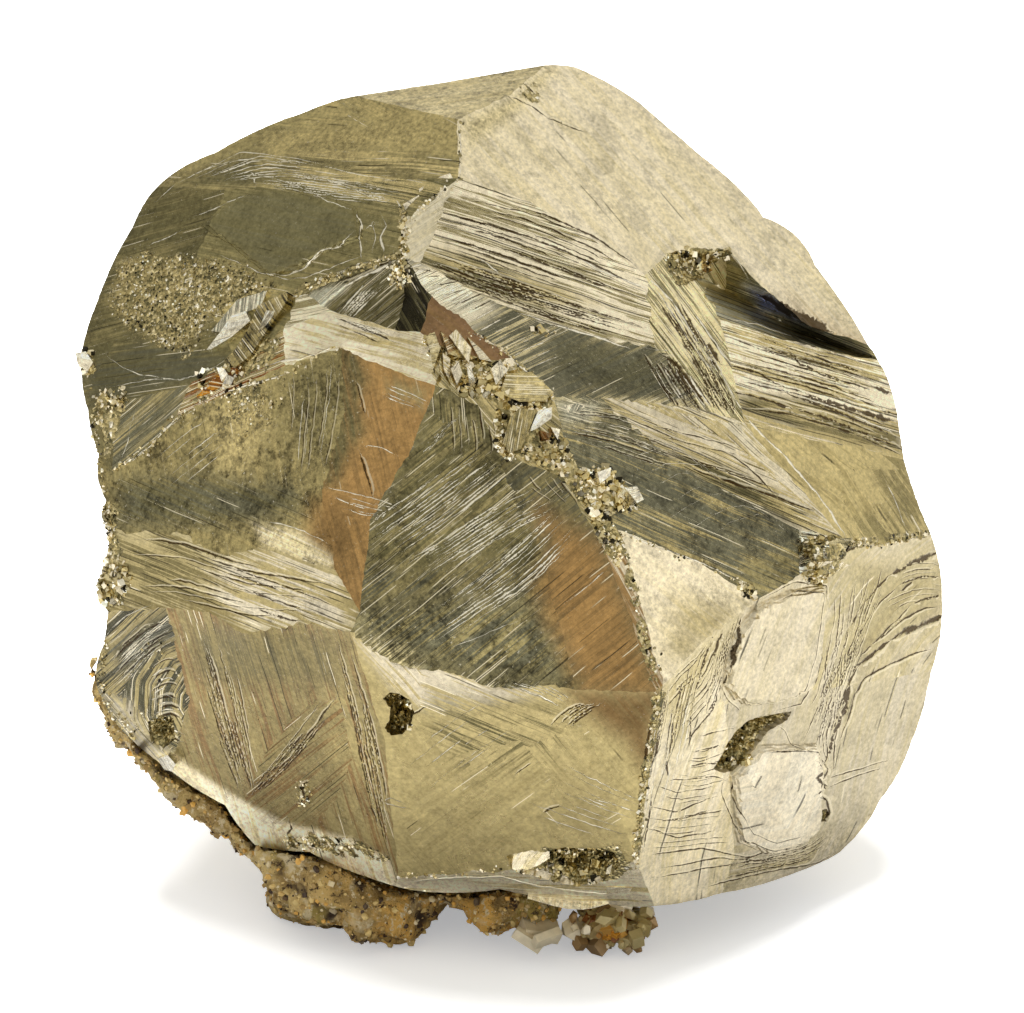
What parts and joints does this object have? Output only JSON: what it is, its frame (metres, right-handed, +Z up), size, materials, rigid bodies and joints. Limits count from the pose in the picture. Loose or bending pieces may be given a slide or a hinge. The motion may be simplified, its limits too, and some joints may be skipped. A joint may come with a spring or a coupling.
{
  "type": "pyrite specimen",
  "caption": "Hand specimen of intergrown metallic pyrite crystals with flat, striated and stepped faces, on a little brown matrix.",
  "frame": {"origin": "on the surface it stands on, below the middle of its box", "axes": "+Z up, +X to the right of the pictured front, +Y to the back, so that the front faces -Y"},
  "size_m": [0.0604, 0.049, 0.0568],
  "materials": {
    "pyrite": "natural metallic crystal faces, striated, lightly tarnished",
    "matrix": "rough granular brown rock",
    "cluster": "small honey-orange and olive crystals",
    "pale_pyrite": "pale bright crystal plates"
  },
  "bodies": {
    "root": {"pyrite_crystal": "pyrite", "matrix_crust": "matrix", "base_cluster": "cluster", "base_plates": "pale_pyrite"}
  },
  "joints": []
}
